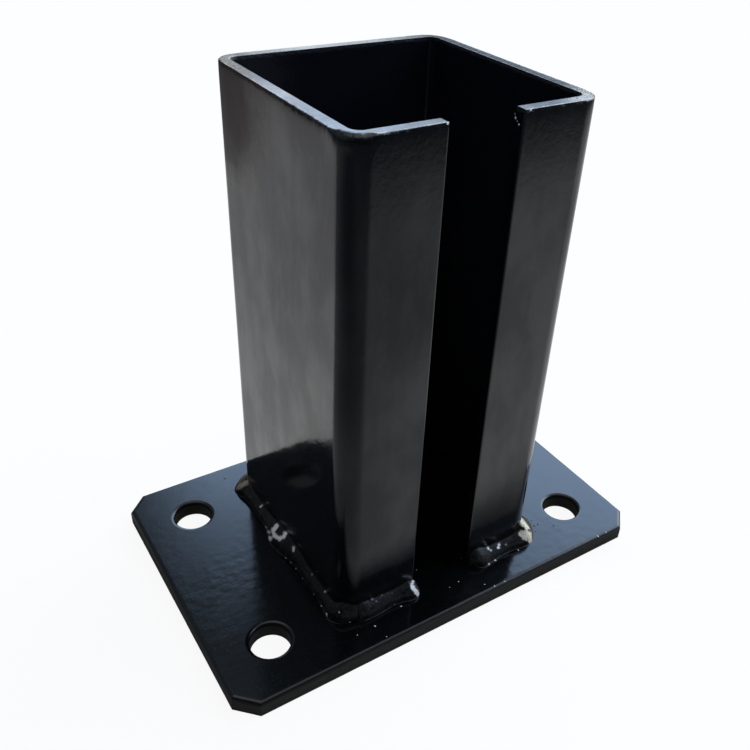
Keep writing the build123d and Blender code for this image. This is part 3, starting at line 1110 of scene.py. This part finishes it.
# Where the reflected floor fades to the far end of the room, to the painted shade in front and to a painted
# shadow round one place, and that shadow's level
FLOOR_FAR = (0.20, 0.165, 0.155, 1)
FAR_FADE = (0.38, 0.85)
FRONT_FADE = (-0.48, -0.24)
PAINTED_SHADOW_PLACE = (-0.40, -0.20, 0)
PAINTED_SHADOW_FADE = (0.06, 0.40)
PAINTED_SHADOW_LEVEL = 0.015
# Level way in which the camera looks
VIEW_WAY = (0.574, 0.819, 0)
# Painted shadow on the reflected floor close round the plate's front and left: its start, and its end on the
# left and right, its level, and the level of the painted shade under the plate
FOOT_GAP = 4.5 * MM
FOOT_SHADE = 13 * MM
FOOT_SHADE_RIGHT = 15 * MM
SHADE_LEVEL = 0.08
UNDER_LEVEL = 0.04


def past_plate(x, y, gap, soft):
    """0 under the plate and 1 outside it, with a soft step in front of it and on its left."""
    outside = x.between(plate_high.x, plate_high.x + 1 * MM)
    for step in (
        y.between(plate_high.y, plate_high.y + 1 * MM),
        (-1 * x).between(plate_high.x + gap, plate_high.x + soft),
        (-1 * y).between(plate_high.y + gap, plate_high.y + soft),
    ):
        outside = outside + step * (1 - outside)
    return outside


def reflected_floor(finish):
    """The floor in the paint's reflections, with painted light and shade: bright beside and behind the
    object, painted shade in front and far off, and painted shadow round and under the plate.
    """
    x, y = finish.along((1, 0, 0)), finish.along((0, 1, 0))
    away = finish.away_from((0, 0, 0))
    behind = finish.along(VIEW_WAY)
    edge_on = behind / (away + 0.001)
    front_left = (1 - behind.between(-0.03, 0.012)) * (1 - (x + y * 0.35).between(-0.10, 0.05))
    in_front = (1 - (x + y * 0.5).between(0.0, 0.06)) * (1 - y.between(-0.15, -0.05))
    in_front = in_front * away.between(0.14, 0.24) * (1 - away.between(0.26, 0.36) * 0.7)
    level = FLOOR_LEFT + x.between(-0.02, 0.18) * (FLOOR_RIGHT - FLOOR_LEFT)
    level = level * (0.92 + edge_on.between(-0.15, 0) * (1 - edge_on.between(0, 0.35)) * 0.20)
    level = level * (1 - front_left * FRONT_LEFT_DROP) * (1 - away.between(0.13, 0.22) * FAR_DROP)
    level = level * (1 - in_front * FRONT_DROP)
    color = finish.mix(away.between(*FAR_FADE), finish.mix(level, gray(0), gray(1)), FLOOR_FAR)
    # Painted shadow on the reflected floor in front of the object, round one place
    lit = finish.away_from(PAINTED_SHADOW_PLACE).between(*PAINTED_SHADOW_FADE) * y.between(*FRONT_FADE)
    color = finish.mix(lit * (1 - away.between(0.8, 1.6) * 0.8), gray(PAINTED_SHADOW_LEVEL), color)
    # Painted shadow round the plate's foot and painted shade under the plate
    shade = past_plate(x, y, FOOT_GAP, FOOT_SHADE + x.between(-20 * MM, 60 * MM) * FOOT_SHADE_RIGHT)
    open_floor = past_plate(x, y, FOOT_GAP, FOOT_GAP + 1 * MM) * (SHADE_LEVEL + shade * (1 - SHADE_LEVEL))
    return finish.mix(open_floor, gray(UNDER_LEVEL), color)


def add_floor():
    """Pale floor, white to the camera but for the object's shadow, and with painted light and shade in the
    paint's reflections.
    """
    reach = FLOOR_REACH
    corners = [(-reach, -reach, 0), (reach, -reach, 0), (reach, reach, 0), (-reach, reach, 0)]
    mesh = new_mesh("floor", corners, [(0, 1, 2, 3)])
    floor = bpy.data.objects.new("floor", mesh)
    floor.location.z = -FLOOR_DROP
    bpy.context.scene.collection.objects.link(floor)
    finish = new_finish("floor_white")
    camera, glossy, clear = (
        finish.add("LightPath", output=ray)
        for ray in ("Is Camera Ray", "Is Glossy Ray", "Is Transmission Ray")
    )
    color = finish.mix(camera, reflected_floor(finish), gray(1))
    white = finish.add("Emission", {}, {"Color": color, "Strength": 1})
    matte = finish.add("BsdfDiffuse", {}, {"Color": gray(MATTE_LEVEL)})
    seen = (camera + glossy + clear) * FLOOR_WHITE_SHARE
    surface = finish.add("MixShader", {}, {0: seen, 1: matte, 2: white})
    finish.add("OutputMaterial", {}, {"Surface": surface})
    mesh.materials.append(finish.owner)
    floor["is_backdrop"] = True


WINDOW_START = radians(15)
WINDOW_MIDDLE = radians(60)
WINDOW_TOP_SLOPE = 0.1
WINDOW_STEP = radians(30)
WINDOW_STEP_RISE = 0.2
SIDE_START = radians(50)
ROOM_LIGHT = (0.20, 0.25, 0.31)
CEILING_LIGHT = (0.85, 0.83, 0.80)
LOW_WINDOW_LIGHT = (1.75, 1.80, 1.85)
HIGH_WINDOW_LIGHT = (2.5, 3.6, 5.3)
SIDE_LIGHT = (2.3, 2.15, 1.95)
DARK_WAY = (-0.50, -0.75, 0.43)


def add_room():
    """Dim room with a tall window behind the object, bluer higher up, and a warmer one on its right."""
    world = bpy.data.worlds.new("room")
    bpy.context.scene.world = world
    room = Finish(world, place="Generated")
    up = room.along(UP)
    level = (1 - up * up) ** 0.5 + 0.001

    def turned(heading):
        """Sine of the turn to the right, seen from above, from a heading off +Y."""
        return room.along((cos(heading), -sin(heading), 0)) / level

    sides = turned(WINDOW_START).between(-0.08, 0.08) * turned(WINDOW_MIDDLE - pi / 2).between(0.2, 0.5)
    sill = turned(WINDOW_STEP).between(0, 0.12) * WINDOW_STEP_RISE
    low = sides * (up - sill).between(0.02, 0.14) * (1 - up.between(0.25, 0.5))
    top = up - turned(WINDOW_START) * WINDOW_TOP_SLOPE
    high = sides * up.between(0.24, 0.52) * (1 - top.between(0.585, 0.775))
    side = turned(SIDE_START).between(0.1, 0.45) * turned(WINDOW_MIDDLE - pi / 2).between(0.6, 0.85)
    side = side * up.between(0.05, 0.3) * (1 - up.between(0.8, 0.95))
    walls = (0.35 + up.between(0.2, 0.45) * 0.65) * (1 - room.along(DARK_WAY).between(0.5, 0.85) * 0.75)
    light = (0, 0, 0)
    for color, share in (
        (LOW_WINDOW_LIGHT, low),
        (HIGH_WINDOW_LIGHT, high),
        (SIDE_LIGHT, side),
        (ROOM_LIGHT, walls),
        (CEILING_LIGHT, up.between(0.8, 0.95)),
    ):
        glow = room.add("VectorMath", {"operation": "SCALE"}, {0: color, "Scale": share})
        light = room.add("VectorMath", {"operation": "ADD"}, {0: light, 1: glow})
    camera = room.add("LightPath", output="Is Camera Ray")
    background = room.add("Background", {}, {"Color": room.mix(camera, light, gray(1)), "Strength": 1})
    room.add("OutputWorld", {}, {"Surface": background})


add_camera()
add_floor()
add_room()

plate = new_piece("plate", plate_mesh(), plate_paint(), "base_plate")
sleeve = new_piece("sleeve", sleeve_mesh(), sleeve_paint(), "post_channel")
pieces = [plate, sleeve]
bead_finish = weld_paint()
for node in BEADS:
    pieces.append(new_piece(node.replace("weld", "bead"), bead_mesh(node), bead_finish, node))
chance = random.Random(SEED)
bright = spatter_mesh("bright_spatter", DROPS, pieces, chance)
new_piece("bright_spatter", bright, spatter_metal_and_highlights())
black = spatter_mesh("black_spatter", BLACK_DROPS, pieces, chance, HIDDEN_DROPS)
new_piece("black_spatter", black, bead_finish)

bpy.context.scene.view_settings.view_transform = "Standard"
boxes = {"cad": cad_box, "visual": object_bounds()}
{name: [list(corner) for corner in box] for name, box in boxes.items()}
